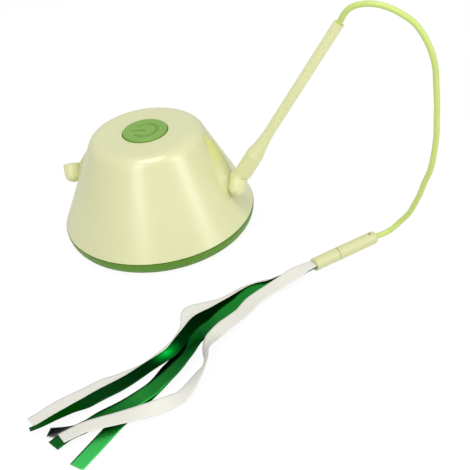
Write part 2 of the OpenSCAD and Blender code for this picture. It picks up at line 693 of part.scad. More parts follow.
module motor_pinion() {
    color([0.93, 0.92, 0.88]) translate([0, gear_dist, gear_z + 0.2]) rotate(90) difference() {
        linear_extrude(gear_face - 0.4) rotate(180) gear_outline(pinion_teeth, false);
        translate([0, 0, -1]) cylinder(gear_face + 2, shaft_r + 0.02, shaft_r + 0.02);
    }
}

module main_board() {
    color(board_green) difference() {
        translate([-board_w / 2, -board_y, board_z]) cube([board_w, board_d, board_t]);
        for (s = [-1, 1]) translate([s * standoff_x, -standoff_y, board_z - 1])
            cylinder(board_t + 2, screw_r + seat_fit, screw_r + seat_fit);
    }
}

// Control chip, buffer capacitor, plug housing and small chips of the main board
module board_parts() {
    color(black) translate([0, -standoff_y, board_z + board_t]) {
        translate([-4, -3, 0]) cube([8, 6, 1.6]);
        translate([-8, 4, 0]) cylinder(7, 2.5, 2.5);
        translate([4, 3, 0]) cube([8, 5, 4.5]);
        for (k = [0:3]) translate([-8 + 4 * k, -6, 0]) cube([2, 1.2, 0.6]);
    }
}

module switch_board() {
    color(board_green) translate([0, 0, switch_z - switch_board_t])
        cylinder(switch_board_t, tower_bore - seat_fit, tower_bore - seat_fit);
}

module switch_body() {
    color(black) translate([0, 0, switch_z]) difference() {
        translate([-switch_w / 2, -switch_w / 2, 0]) cube([switch_w, switch_w, switch_h]);
        translate([0, 0, 0.3]) cylinder(switch_h, plunger_r + run_fit, plunger_r + run_fit);
    }
}

module switch_plunger() {
    color([0.8, 0.25, 0.2]) translate([0, 0, switch_z + switch_h - plunger_sunk])
        cylinder(plunger_sunk + plunger_rise, plunger_r, plunger_r);
}

module thrust_washer() {
    color([0.93, 0.92, 0.88]) translate([0, 0, shoulder_z]) difference() {
        cylinder(washer_t, shoulder_r - 0.3, shoulder_r - 0.3);
        translate([0, 0, -1]) cylinder(washer_t + 2, journal_r + run_fit, journal_r + run_fit);
    }
}

// Open spring ring in the tower's groove, over the hub
module hub_clip() {
    color(steel) translate([0, 0, clip_z + clip_gap]) difference() {
        cylinder(clip_t, journal_r + 2, journal_r + 2);
        translate([0, 0, -1]) cylinder(clip_t + 2, journal_r - groove_depth + run_fit,
            journal_r - groove_depth + run_fit);
        translate([0, -3, -1]) cube([journal_r + 4, 6, clip_t + 2]);
    }
}

// Round tongue of the socket on +X: part of a ring that rises out of the cone and dips back into it
module tongue(grow, spare) {
    translate([0, 0, tongue_z - tongue_bend * sin(tongue_foot)]) rotate([-tongue_back, 0, 0])
        translate([tongue_x, 0, tongue_bend * sin(tongue_foot)]) rotate([90, 0, 0])
            rotate(-tongue_foot - grow)
            rotate_extrude(angle = tongue_end + tongue_foot + spare + grow)
                translate([tongue_bend, 0]) circle(tongue_r + grow);
}
module at_mouth() {
    translate(mouth) rotate([-socket_back, socket_lean, 0]) children();
}

// Socket on +X: a cup with a round nose, its neck and tongue, the wand's bore and the pilot of its screw
module socket_piece() {
    difference() {
        union() {
            difference() {
                at_mouth() {
                    translate([0, 0, -nose_z]) cylinder(nose_z, socket_r, socket_r);
                    translate([0, 0, -nose_z]) sphere(socket_r);
                    translate([0, 0, -nose_z]) rotate([0, -90, 0]) cylinder(2.5 * socket_r, neck_r, neck_r);
                }
                cone_solid(-0.1, 0);
            }
            difference() {
                tongue(0, 0);
                cone_solid(shell_wall + tongue_depth, 0);
            }
        }
        at_mouth() translate([0, 0, -bore_depth]) cylinder(bore_depth + 6, bore_r, bore_r);
        translate([pad_x, socket_screw_y, socket_screw_z]) rotate([0, 90, 0])
            cylinder(socket_screw_len + 0.3, screw_r + run_fit, screw_r + run_fit);
    }
}
module wand_socket() {
    color(cream) socket_piece();
}
module spare_socket() {
    color(cream) mirror([1, 0, 0]) socket_piece();
}
module socket_screws() {
    color(steel) for (side = [0, 1]) mirror([side, 0, 0])
        translate([pad_x, socket_screw_y, socket_screw_z]) rotate([0, -90, 0])
            pan_screw(socket_screw_len);
}

// Head shell: cone with a round top edge, button hole, hub bosses, socket slots and screw pads
module head_shell() {
    low_z = rim_z + seam_gap;
    color(cream) difference() {
        union() {
            difference() {
                cone_solid(0, low_z);
                cone_solid(shell_wall, low_z - 1);
            }
            on_ring(boss_ring, boss_angles) translate([0, 0, flange_top])
                cylinder(boss_len + 0.5, boss_r, boss_r);
            for (side = [0, 1]) mirror([side, 0, 0]) translate([pad_x, socket_screw_y, socket_screw_z])
                rotate([0, 90, 0]) cylinder(pad_len, pad_r, pad_r);
        }
        translate([0, 0, ceiling_z - 1])
            cylinder(shell_wall + 2, button_r + button_gap, button_r + button_gap);
        on_ring(boss_ring, boss_angles) translate([0, 0, flange_top - 1])
            cylinder(hub_screw_len - flange_t + 1.5, screw_r + run_fit, screw_r + run_fit);
        for (side = [0, 1]) mirror([side, 0, 0]) {
            tongue(seat_fit, slot_spare);
            translate([pad_x - 1, socket_screw_y, socket_screw_z]) rotate([0, 90, 0])
                cylinder(12, screw_r + seat_fit, screw_r + seat_fit);
        }
    }
}

// Hub: sleeve on the tower, toothed wheel and the flange that screws under the shell
module drive_hub() {
    color([0.93, 0.92, 0.88]) difference() {
        union() {
            translate([0, 0, sleeve_z]) cylinder(flange_top - sleeve_z, sleeve_r, sleeve_r);
            translate([0, 0, gear_z]) linear_extrude(gear_face) rotate(90) gear_outline(hub_teeth, true);
            translate([0, 0, flange_z]) cylinder(flange_t, flange_r, flange_r);
        }
        translate([0, 0, sleeve_z - 1])
            cylinder(flange_top - sleeve_z + 2, journal_r + run_fit, journal_r + run_fit);
        on_ring(boss_ring, boss_angles) translate([0, 0, flange_z]) rotate([180, 0, 0])
            flat_screw_hole(flange_t + 1);
    }
}
module hub_screws() {
    color(steel) on_ring(boss_ring, boss_angles) translate([0, 0, flange_z]) rotate([180, 0, 0])
        flat_screw(hub_screw_len);
}

// Button cap: hollow disc with a lip under the shell, a stem over the switch and a sunk standby sign
module button_cap() {
    cap_top = top_z + button_rise;
    stem_low = switch_z + switch_h + plunger_rise + plunger_gap;
    color(leaf_green) difference() {
        union() {
            rotate_extrude() polygon([[0, cap_lip_z], [button_r + cap_lip, cap_lip_z],
                [button_r + cap_lip, cap_lip_z + cap_lip_t], [button_r, cap_lip_z + cap_lip_t],
                [button_r, cap_top - 0.5], [button_r - 0.15, cap_top - 0.15],
                [button_r - 0.5, cap_top], [0, cap_top]]);
            translate([0, 0, stem_low]) cylinder(cap_top - 1 - stem_low, stem_r, stem_r);
        }
        difference() {
            translate([0, 0, cap_lip_z - 1])
                cylinder(cap_top - cap_skin - cap_lip_z + 1, button_r - cap_skirt, button_r - cap_skirt);
            translate([0, 0, cap_lip_z - 1]) cylinder(cap_top, stem_r, stem_r);
        }
        translate([0, 0, cap_top - sign_deep]) rotate(sign_turn) {
            rotate(sign_gap) rotate_extrude(angle = 360 - 2 * sign_gap)
                translate([sign_r - sign_w / 2, 0]) square([sign_w, 1]);
            translate([-sign_w / 2, -sign_w / 2, 0]) cube([sign_bar, sign_w, 1]);
        }
    }
}
module button_spring() {
    color(steel) coil(spring_r, spring_wire, spring_low, spring_high, spring_turns);
}

// Wand: spigot, collar, elbow, thick grip, long taper and a stick drilled for the cord
taper_shape = [[0.25, 0.68], [0.5, 0.44], [0.75, 0.23], [1, 0.1], [1.4, 0]];
module wand() {
    color(cream) difference() {
        union() {
            at_mouth() {
                translate([0, 0, -spigot_len]) cylinder(spigot_len + 1, spigot_r, spigot_r);
                translate([0, 0, rest_gap]) cylinder(collar_t, socket_r, socket_r);
            }
            intersection() {
                translate(elbow) rotate([0, wand_lean, 0]) rotate_extrude() polygon(concat(
                    [[0, -grip_r], [grip_r, -grip_r], [grip_r, grip_len]],
                    [for (p = taper_shape) [stick_r + (grip_r - stick_r) * p[1],
                        grip_len + taper_len * p[0]]],
                    [[tip_r, wand_len], [0, wand_len]]));
                at_mouth() translate([0, 0, rest_gap + collar_t / 2])
                    cylinder(2 * wand_len, wand_len, wand_len);
            }
        }
        translate(wand_tip) rotate([0, wand_lean, 0]) translate([0, 0, -tip_hole])
            cylinder(tip_hole + 1, cord_r, cord_r);
    }
}
module cord() {
    color(lime) tube(cord_route, cord_r, 8);
}

// Connector half on the cord: round end, cord hole with its pin hole, and the socket for the other half
module connector_upper() {
    end_round = 2;
    color(cream) translate(connector_end) rotate([0, 90, connector_turn]) difference() {
        rotate_extrude() polygon(concat(
            [[0, 0]],
            [for (k = [0:6]) [connector_r - end_round + end_round * sin(15 * k),
                end_round - end_round * cos(15 * k)]],
            [[connector_r, upper_len], [0, upper_len]]));
        translate([0, 0, -1]) cylinder(cord_hole + 1, cord_r, cord_r);
        translate([0, 0, upper_len - plug_len - 0.5])
            cylinder(plug_len + 1, plug_r + run_fit, plug_r + run_fit);
        translate([-connector_r - 1, 0, 4]) rotate([0, 90, 0])
            cylinder(connector_r - cord_r + 0.8, 0.8, 0.8, $fn = 24);
    }
}

// Connector half that clamps the ribbons: plug at one end, flat slot at the other
module connector_lower() {
    color(cream) translate(connector_end + (upper_len + rest_gap) * connector_dir)
        rotate([0, 90, connector_turn]) difference() {
        union() {
            cylinder(lower_len - rest_gap, connector_r, connector_r);
            translate([0, 0, -plug_len]) cylinder(plug_len + 1, plug_r, plug_r);
        }
        translate([-slot_h / 2, -slot_w / 2, lower_len - slot_depth])
            cube([slot_h, slot_w, slot_depth + 1]);
    }
}

module ribbon_white_front() {
    color(satin_white) ribbon(white_front_route, 5);
}
module ribbon_white_back() {
    color(satin_white) ribbon(white_back_route, 2);
}
module ribbon_green_left() {
    color(foil_green) ribbon(green_left_route, 3);
}
module ribbon_green_middle() {
    color(foil_green) ribbon(green_middle_route, 4);
}
module ribbon_green_dark() {
    color(foil_green) ribbon(green_dark_route, 1);
}
module ribbon_green_bright() {
    color(foil_bright) ribbon(green_bright_route, 0);
}

base_tray();
rubber_feet();
battery_door();
door_screw();
battery_cells();
battery_contacts();
inner_frame();
frame_screws();
motor_can();
gearbox_case();
motor_clamp();
clamp_screws();
motor_shaft();
motor_pinion();
main_board();
board_parts();
switch_board();
switch_body();
switch_plunger();
thrust_washer();
hub_clip();
head_shell();
drive_hub();
hub_screws();
wand_socket();
spare_socket();
socket_screws();
button_cap();
button_spring();
wand();
cord();
connector_upper();
connector_lower();
ribbon_white_front();
ribbon_white_back();
ribbon_green_left();
ribbon_green_middle();
ribbon_green_dark();
ribbon_green_bright();
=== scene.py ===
import bmesh
import bpy
import numpy as np
from mathutils import Matrix


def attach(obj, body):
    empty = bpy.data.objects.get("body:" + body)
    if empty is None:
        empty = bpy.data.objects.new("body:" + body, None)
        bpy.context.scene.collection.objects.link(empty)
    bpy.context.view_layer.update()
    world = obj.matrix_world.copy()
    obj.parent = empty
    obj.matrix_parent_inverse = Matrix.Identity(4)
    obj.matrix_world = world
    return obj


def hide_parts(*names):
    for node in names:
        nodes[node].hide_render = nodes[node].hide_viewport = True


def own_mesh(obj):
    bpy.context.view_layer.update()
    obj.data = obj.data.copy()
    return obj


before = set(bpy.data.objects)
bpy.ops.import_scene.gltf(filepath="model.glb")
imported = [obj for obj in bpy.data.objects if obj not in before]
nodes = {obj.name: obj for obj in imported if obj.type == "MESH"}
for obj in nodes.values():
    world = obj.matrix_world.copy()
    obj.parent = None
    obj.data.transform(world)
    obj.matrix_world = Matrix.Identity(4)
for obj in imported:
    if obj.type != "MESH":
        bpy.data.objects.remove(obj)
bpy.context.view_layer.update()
scene = bpy.context.scene
scene.view_settings.view_transform = "Standard"


# Studio: a white paper floor and an even pale surround, with a tall soft box in front, one at the right
# and a broad one above. The camera stands in front and to the right, looks down by 35 degrees and leans
# a little to one side.
mm = 0.001
camera_place = (0.20955, -0.3916, 0.2940)
camera_azimuth, camera_elevation, camera_lean = 22.82, 35.24, 7.89
camera_sensor, camera_lens, camera_near = 36.0, 68.94, 10 * mm
lamp_target = np.array([0.05, -0.03, 0.05])
surround_tint, surround_power, surround_seen_power = (0.97, 0.98, 1.0, 1), 0.44, 1.0
floor_half, floor_z = 6.0, -0.2 * mm
paper_tint, paper_glow, paper_glow_share = (0.93, 0.93, 0.93, 1), 1.03, 0.9


def camera_axes(azimuth, elevation, lean):
    """Right, up and back of a camera: turned about Z from a look along +Y, raised, then leaned about
    its line of sight."""
    a, e, r = np.radians([azimuth, elevation, lean])
    back = np.array([np.sin(a) * np.cos(e), -np.cos(a) * np.cos(e), np.sin(e)])
    level = np.array([np.cos(a), np.sin(a), 0.0])
    above = np.cross(back, level)
    return np.cos(r) * level - np.sin(r) * above, np.sin(r) * level + np.cos(r) * above, back


def placed(axes, spot):
    """Matrix whose columns are three axes and a place."""
    m = np.eye(4)
    m[:3, 0], m[:3, 1], m[:3, 2] = axes
    m[:3, 3] = spot
    return Matrix(m.tolist())


def soft_box(name, azimuth, elevation, distance, size, power):
    """Oblong lamp that faces the toy from a direction given as two angles."""
    lamp = bpy.data.objects.new(name, bpy.data.lights.new(name, "AREA"))
    lamp.data.shape = "RECTANGLE"
    lamp.data.size, lamp.data.size_y = size
    lamp.data.energy = power
    axes = camera_axes(azimuth, elevation, 0)
    lamp.matrix_world = placed(axes, lamp_target + distance * axes[2])
    scene.collection.objects.link(lamp)


def add(tree, kind, values=None, **settings):
    """New shader node of a kind, with the values of its inputs and its settings."""
    node = tree.nodes.new("ShaderNode" + kind)
    for key, value in (values or {}).items():
        node.inputs[key].default_value = value
    for key, value in settings.items():
        setattr(node, key, value)
    return node


def wire(tree, *pairs):
    """Joins an output to an input, pair by pair."""
    for source, target in pairs:
        tree.links.new(source, target)


camera = bpy.data.objects.new("camera", bpy.data.cameras.new("camera"))
camera.data.sensor_width = camera_sensor
camera.data.lens = camera_lens
camera.data.clip_start = camera_near
camera.matrix_world = placed(camera_axes(camera_azimuth, camera_elevation, camera_lean), camera_place)
scene.collection.objects.link(camera)
scene.camera = camera

soft_box("front_box", -3, 34, 0.95, (0.26, 0.7), 2.3)
soft_box("right_box", 80, 30, 0.95, (0.28, 0.8), 2.7)
soft_box("top_box", 18, 77, 1.1, (0.6, 0.45), 4.85)

world = bpy.data.worlds.new("surround")
scene.world = world
world.use_nodes = True
tree = world.node_tree
tree.nodes.clear()
surround_light = add(tree, "Background", {"Color": surround_tint, "Strength": surround_power})
surround_seen = add(tree, "Background", {"Color": (1, 1, 1, 1), "Strength": surround_seen_power})
ray = add(tree, "LightPath")
seen = add(tree, "Math", operation="MAXIMUM")
seen_or_mirrored = add(tree, "Math", operation="MAXIMUM")
surround_mix = add(tree, "MixShader")
surround_out = add(tree, "OutputWorld")
wire(tree,
     (ray.outputs["Is Camera Ray"], seen.inputs[0]),
     (ray.outputs["Is Transmission Ray"], seen.inputs[1]),
     (seen.outputs[0], seen_or_mirrored.inputs[0]),
     (ray.outputs["Is Glossy Ray"], seen_or_mirrored.inputs[1]),
     (seen_or_mirrored.outputs[0], surround_mix.inputs[0]),
     (surround_light.outputs[0], surround_mix.inputs[1]),
     (surround_seen.outputs[0], surround_mix.inputs[2]),
     (surround_mix.outputs[0], surround_out.inputs["Surface"]))

floor_mesh = bpy.data.meshes.new("floor")
floor_corners = [(floor_half * x, floor_half * y, floor_z) for x, y in ((-1, -1), (1, -1), (1, 1), (-1, 1))]
floor_mesh.from_pydata(floor_corners, [], [(0, 1, 2, 3)])
floor = bpy.data.objects.new("floor", floor_mesh)
scene.collection.objects.link(floor)
paper = bpy.data.materials.new("floor_paper")
paper.use_nodes = True
paper.cycles.emission_sampling = "NONE"
tree = paper.node_tree
tree.nodes.clear()
paper_matt = add(tree, "BsdfDiffuse", {"Color": paper_tint})
paper_white = add(tree, "Emission", {"Strength": paper_glow})
ray = add(tree, "LightPath")
paper_share = add(tree, "Math", {1: paper_glow_share}, operation="MULTIPLY")
paper_mix = add(tree, "MixShader")
paper_out = add(tree, "OutputMaterial")
wire(tree,
     (ray.outputs["Is Camera Ray"], paper_share.inputs[0]),
     (paper_share.outputs[0], paper_mix.inputs[0]),
     (paper_matt.outputs[0], paper_mix.inputs[1]),
     (paper_white.outputs[0], paper_mix.inputs[2]),
     (paper_mix.outputs[0], paper_out.inputs["Surface"]))
floor.data.materials.append(paper)


# Base tray, battery door and feet: leaf-green injection mouldings with a satin skin, on five black rubber
# pads. The door hooks in with a tongue and is held by one screw; the pads are pressed into round pockets.
def linear(*rgb):
    """Screen colour from 0 to 255 turned into linear light, with full opacity."""
    c = np.array(rgb, float) / 255
    c = np.where(c <= 0.04045, c / 12.92, ((c + 0.055) / 1.055) ** 2.4)
    return tuple(c.tolist()) + (1.0,)


def toned(colour, factor):
    """Linear colour made lighter or darker by a factor."""
    return tuple(np.minimum(np.array(linear(*colour)[:3]) * factor, 1).tolist()) + (1.0,)


def new_material(name):
    """Empty material with its node tree and its main shader."""
    material = bpy.data.materials.new(name)
    material.use_nodes = True
    return material, material.node_tree, material.node_tree.nodes["Principled BSDF"]


def moulded(name, colour, rough, tone=0.05, skin=0.04 * mm, gloss=0.5, fade=None):
    """Moulded plastic: the colour drifts by a small tone over a few centimetres, and a fine skin varies
    gloss and height. A fade is a second colour that the piece takes below one height, and the height where
    it ends."""
    drift_scale, drift_band, grain_scale, gloss_spread, skin_strength = 28, (0.3, 0.7), 2200, 0.03, 0.25
    material, tree, shader = new_material(name)
    place = add(tree, "TexCoord")
    drift = add(tree, "TexNoise", {"Scale": drift_scale, "Detail": 3})
    ramp = add(tree, "ValToRGB")
    for stop, position, factor in zip(ramp.color_ramp.elements, drift_band, (1 - tone, 1 + tone)):
        stop.position = position
        stop.color = toned(colour, factor)
    grain = add(tree, "TexNoise", {"Scale": grain_scale, "Detail": 2})
    sheen = add(tree, "MapRange", {"To Min": rough - gloss_spread, "To Max": rough + gloss_spread})
    bump = add(tree, "Bump", {"Strength": skin_strength, "Distance": skin})
    wire(tree,
         (place.outputs["Object"], drift.inputs["Vector"]),
         (place.outputs["Object"], grain.inputs["Vector"]),
         (drift.outputs["Fac"], ramp.inputs["Fac"]),
         (ramp.outputs["Color"], shader.inputs["Base Color"]),
         (grain.outputs["Fac"], sheen.inputs["Value"]),
         (sheen.outputs["Result"], shader.inputs["Roughness"]),
         (grain.outputs["Fac"], bump.inputs["Height"]),
         (bump.outputs["Normal"], shader.inputs["Normal"]))
    shader.inputs["Specular IOR Level"].default_value = gloss
    if fade:
        low_colour, low_z, high_z = fade
        split = add(tree, "SeparateXYZ")
        height = add(tree, "MapRange", {"From Min": low_z, "From Max": high_z},
                     interpolation_type="SMOOTHSTEP")
        blend = add(tree, "MixRGB", {"Color1": linear(*low_colour)})
        wire(tree,
             (place.outputs["Object"], split.inputs[0]),
             (split.outputs["Z"], height.inputs["Value"]),
             (height.outputs["Result"], blend.inputs["Fac"]),
             (ramp.outputs["Color"], blend.inputs["Color2"]),
             (blend.outputs["Color"], shader.inputs["Base Color"]))
    return material


def dress(material, *names):
    """Gives CAD nodes a material in every slot."""
    for name in names:
        for part in nodes[name].material_slots:
            part.material = material


tray_green = moulded("tray_green", (86, 135, 16), 0.3, gloss=0.4)
dress(tray_green, "base_tray", "battery_door")
foot_rubber = moulded("foot_rubber", (34, 34, 35), 0.72, tone=0.15, skin=0.1 * mm, gloss=0.3)
dress(foot_rubber, "rubber_feet")


# Hidden works: grey frame with its tower, gear motor, cells, boards, switch, toothed hub and button spring.
# Screws, contacts, motor can, shaft, strap, clip and spring are bright steel and the gearbox is brass;
# the others have a plastic skin.
def metal(name, colour, rough):
    """Drawn metal: fine streaks along Z vary the tone and the gloss."""
    streak_scale, streak_stretch, streak_dark = 900, (1.0, 1.0, 0.08), 0.85
    smoother, rougher = 0.1, 0.12
    material, tree, shader = new_material(name)
    shader.inputs["Metallic"].default_value = 1.0
    place = add(tree, "TexCoord")
    stretch = add(tree, "Mapping", {"Scale": streak_stretch})
    streak = add(tree, "TexNoise", {"Scale": streak_scale, "Detail": 4})
    sheen = add(tree, "MapRange", {"To Min": rough - smoother, "To Max": rough + rougher})
    tint = add(tree, "ValToRGB")
    for stop, factor in zip(tint.color_ramp.elements, (streak_dark, 1)):
        stop.color = toned(colour, factor)
    wire(tree,
         (place.outputs["Object"], stretch.inputs["Vector"]),
         (stretch.outputs["Vector"], streak.inputs["Vector"]),
         (streak.outputs["Fac"], sheen.inputs["Value"]),
         (streak.outputs["Fac"], tint.inputs["Fac"]),
         (sheen.outputs["Result"], shader.inputs["Roughness"]),
         (tint.outputs["Color"], shader.inputs["Base Color"]))
    return material


dress(moulded("frame_grey", (208, 208, 203), 0.5), "inner_frame")
dress(moulded("gear_white", (232, 230, 222), 0.42), "drive_hub", "motor_pinion", "thrust_washer")
dress(moulded("board_green", (38, 98, 62), 0.4, tone=0.12), "main_board", "switch_board")
dress(moulded("black_plastic", (33, 33, 35), 0.5, tone=0.15), "board_parts", "switch_body")
dress(moulded("plunger_red", (196, 66, 52), 0.45), "switch_plunger")
dress(moulded("cell_sleeve", (74, 84, 92), 0.3, tone=0.1), "battery_cells")
dress(metal("steel", (198, 200, 204), 0.32),
      "door_screw", "battery_contacts", "frame_screws", "motor_can", "motor_clamp", "clamp_screws",
      "motor_shaft", "hub_clip", "hub_screws", "socket_screws", "button_spring")
dress(metal("gear_brass", (206, 170, 96), 0.3), "gearbox_case")


# Head shell: one pale cream-green moulding, a cone with a round top edge and a satin skin.
# It has a hole for the button and a slot for each socket.
shell_cream = moulded("shell_cream", (212, 213, 162), 0.29, tone=0.02, skin=0.006 * mm, gloss=0.9)
dress(shell_cream, "head_shell")


# Button: round green cap with a lip, dropped into its hole from inside the shell, over a steel coil spring.
# Its sunk standby sign is a ring open at one side, with a bar from the middle out through the opening.
cap_r, cap_top, cap_edge = 12.55 * mm, 60.4 * mm, 0.6 * mm
cap_lip_r, cap_lip_low, cap_lip_thick, cap_side_low = 13.9 * mm, 55.95 * mm, 1.2 * mm, 57.4 * mm
cap_hollow_r, cap_hollow_top, cap_dish = 11 * mm, 58.2 * mm, 0.2 * mm
sign_r, sign_half, sign_deep, sign_soft = 6.9 * mm, 0.8 * mm, 0.5 * mm, 0.22 * mm
sign_turn, sign_gap, sign_gap_soft = np.radians(193), np.radians(38), 0.05
bar_start, bar_end = -0.5 * mm, 8.3 * mm
sign_area, sign_sunk_least, sign_sunk_most = 0.8, 0.6, 3
merge_distance, sharp_angle = 0.001 * mm, np.radians(12)


def merge_doubles(mesh):
    """Joins points that lie on each other, and turns the faces of the closed mesh outwards."""
    work = bmesh.new()
    work.from_mesh(mesh)
    bmesh.ops.remove_doubles(work, verts=work.verts, dist=merge_distance)
    bmesh.ops.recalc_face_normals(work, faces=work.faces)
    work.to_mesh(mesh)
    work.free()


def node_copy(name, node_name):
    """Copy of a CAD node as a piece of its own: triangles joined, round faces smooth and edges sharp."""
    mesh = nodes[node_name].data.copy()
    merge_doubles(mesh)
    mesh.polygons.foreach_set("use_smooth", np.ones(len(mesh.polygons), bool))
    mesh.set_sharp_from_angle(angle=sharp_angle)
    piece = bpy.data.objects.new(name, mesh)
    scene.collection.objects.link(piece)
    return piece


def mesh_values(items, name):
    """One vector of every point or face of a mesh, as an array with a row for each."""
    values = np.empty(len(items) * 3, np.float32)
    items.foreach_get(name, values)
    return values.reshape(-1, 3).astype(float)


def cell_corners(grid):
    """Four corners of each cell of a grid, in order round the cell."""
    return grid[:-1, :-1], grid[:-1, 1:], grid[1:, 1:], grid[1:, :-1]


def grid_piece(name, grid, material, round_v=False, merge=True):
    """Mesh from an array of points laid out in rows and columns, joined by four-sided faces, with its
    doubles merged unless told otherwise. Its UV map runs from 0 to 1 from row to row and across a row."""
    rows, cols = grid.shape[:2]
    index = np.arange(rows * cols).reshape(rows, cols)
    if round_v:
        index = np.concatenate([index, index[:, :1]], axis=1)
    quads = np.stack(cell_corners(index), axis=-1).reshape(-1, 4)
    mesh = bpy.data.meshes.new(name)
    mesh.from_pydata(grid.reshape(-1, 3).tolist(), [], quads.tolist())
    u, v = np.meshgrid(np.linspace(0, 1, rows), np.linspace(0, 1, index.shape[1]), indexing="ij")
    uv = np.stack(cell_corners(np.stack([u, v], axis=-1)), axis=-2)
    mesh.uv_layers.new(name="along").data.foreach_set("uv", uv.reshape(-1))
    mesh.polygons.foreach_set("use_smooth", np.ones(len(quads), bool))
    mesh.materials.append(material)
    piece = bpy.data.objects.new(name, mesh)
    scene.collection.objects.link(piece)
    if merge:
        merge_doubles(mesh)
    return piece


def ease(x):
    """Smooth step: 0 below 0, 1 above 1, level at both ends."""
    x = np.clip(x, 0, 1)
    return x * x * (3 - 2 * x)


def cap_grid(top_rings=90, edge_rings=8, sides=256):
    """Cap as rings of points: over the top to a round edge, down the side, out and round the lip, and back
    underneath. The top is dished, and sinks by sign_deep where a point lies on the ring, outside its gap,
    or on the bar."""
    top = np.stack([np.linspace(0, cap_r - cap_edge, top_rings), np.full(top_rings, cap_top)], -1)
    bend = np.linspace(0, np.pi / 2, edge_rings)[1:]
    edge = np.stack([cap_r - cap_edge + cap_edge * np.sin(bend),
                     cap_top - cap_edge + cap_edge * np.cos(bend)], -1)
    lip_top = cap_lip_low + cap_lip_thick
    rest = np.array([[cap_r, cap_side_low], [cap_r, lip_top], [cap_lip_r, lip_top], [cap_lip_r, cap_lip_low],
                     [cap_hollow_r, cap_lip_low], [cap_hollow_r, cap_hollow_top], [0, cap_hollow_top]])
    line = np.concatenate([top, edge, rest])
    turn = np.linspace(0, 2 * np.pi, sides, endpoint=False)
    r, z = line[:, :1], line[:, 1:]
    x, y = r * np.cos(turn), r * np.sin(turn)
    along = x * np.cos(sign_turn) + y * np.sin(sign_turn)
    across = -x * np.sin(sign_turn) + y * np.cos(sign_turn)
    off_axis = np.abs(np.arctan2(across, along))
    ring = 1 - ease((np.abs(r - sign_r) - sign_half) / sign_soft)
    ring = ring * ease((off_axis - sign_gap) / sign_gap_soft)
    bar = 1 - ease((np.abs(across) - sign_half) / sign_soft)
    bar = bar * ease((along - bar_start) / sign_soft) * (1 - ease((along - bar_end) / sign_soft))
    dish = cap_dish * ease(1 - r / cap_r)
    on_top = z > cap_top - merge_distance
    z = z - np.where(on_top, sign_deep * np.maximum(ring, bar) + dish, 0)
    return np.stack([x, y, z + 0 * x], -1)


button_green = moulded("button_green", (116, 162, 58), 0.4, tone=0.03, gloss=0.5)
# The faces of the sunk sign take a darker green: painted shade in its groove.
sign_green_painted_shade = moulded("sign_green_painted_shade", (102, 148, 50), 0.5, tone=0.03)
button = grid_piece("button", cap_grid(), button_green, round_v=True)
button.data.materials.append(sign_green_painted_shade)
face_middle = mesh_values(button.data.polygons, "center")
face_sunk = (cap_top - face_middle[:, 2]) / sign_deep
near_sign = np.hypot(face_middle[:, 0], face_middle[:, 1]) < sign_area * cap_r
painted_shade_faces = near_sign & (face_sunk > sign_sunk_least) & (face_sunk < sign_sunk_most)
button.data.polygons.foreach_set("material_index", painted_shade_faces.astype(np.int32))
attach(button, "button")
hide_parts("button_cap")

spring = node_copy("button_coil", "button_spring")
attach(spring, "head")
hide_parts("button_spring")
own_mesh(spring)


# Wand sockets: on each side a cup with a round nose and a soft leaf that carries it and runs up the cone.
# The leaf fills the slot in the shell; the cup on +X holds the wand and the one on -X is empty.
cone_foot_r, cone_foot_z, cone_slope = 55 * mm, 8 * mm, np.tan(np.radians(25.4))
mouth_lean, mouth_back = np.radians(10), np.radians(22)
mouth_dir = np.array([np.cos(mouth_back) * np.sin(mouth_lean), np.sin(mouth_back),
                      np.cos(mouth_back) * np.cos(mouth_lean)])
mouth = mm * np.array([52.01, 0, 34.2])
cup_r, cup_rim, cup_nose = 4.9 * mm, 0.4 * mm, 6 * mm
bore_r, bore_depth = 2.55 * mm, 6.5 * mm
leaf_sink, leaf_root, leaf_back_width, leaf_back_power = 0.1 * mm, 0.9 * mm, 0.75, 1 / 3


def smooth_line(points, steps):
    """Curve through given points: each span is a cubic whose slope at a point follows that point's two
    neighbours."""
    p = np.asarray(points, float)
    a, b = np.concatenate([p[:1], p[:-2]]), p[:-1]
    c, d = p[1:], np.concatenate([p[2:], p[-1:]])
    t = np.arange(steps)[None, :, None] / steps
    a, b, c, d = (q[:, None, :] for q in (a, b, c, d))
    bent = (2 * a - 5 * b + 4 * c - d) * t ** 2 + (3 * b - a - 3 * c + d) * t ** 3
    line = 0.5 * (2 * b + (c - a) * t + bent)
    return np.concatenate([line.reshape(-1, p.shape[1]), p[-1:]])


def turned_grid(profile, spot, axis, sides=48):
    """Rings of points round an axis through a spot: a profile row is a radius and a place along the axis."""
    first = np.cross(axis, [0, 1, 0])
    first /= np.linalg.norm(first)
    second = np.cross(axis, first)
    turn = np.linspace(0, 2 * np.pi, sides, endpoint=False)[None, :, None]
    radius, along = profile[:, :1, None], profile[:, 1:, None]
    return spot + along * axis + radius * (np.cos(turn) * first + np.sin(turn) * second)


def cup_profile(rim_points=7, nose_points=16):
    """Half outline of the cup: up the bore, over a round rim, down the side and round the nose."""
    bend = np.linspace(0, np.pi / 2, rim_points)
    inner = np.stack([bore_r + cup_rim * (1 - np.cos(bend)), cup_rim * (np.sin(bend) - 1)], -1)
    outer = np.stack([cup_r - cup_rim * (1 - np.sin(bend)), cup_rim * (np.cos(bend) - 1)], -1)
    bend = np.linspace(0, np.pi / 2, nose_points)
    nose = np.stack([cup_r * np.cos(bend), -cup_nose - cup_r * np.sin(bend)], -1)
    return np.concatenate([[[0, -bore_depth], [bore_r, -bore_depth]], inner, outer, nose])


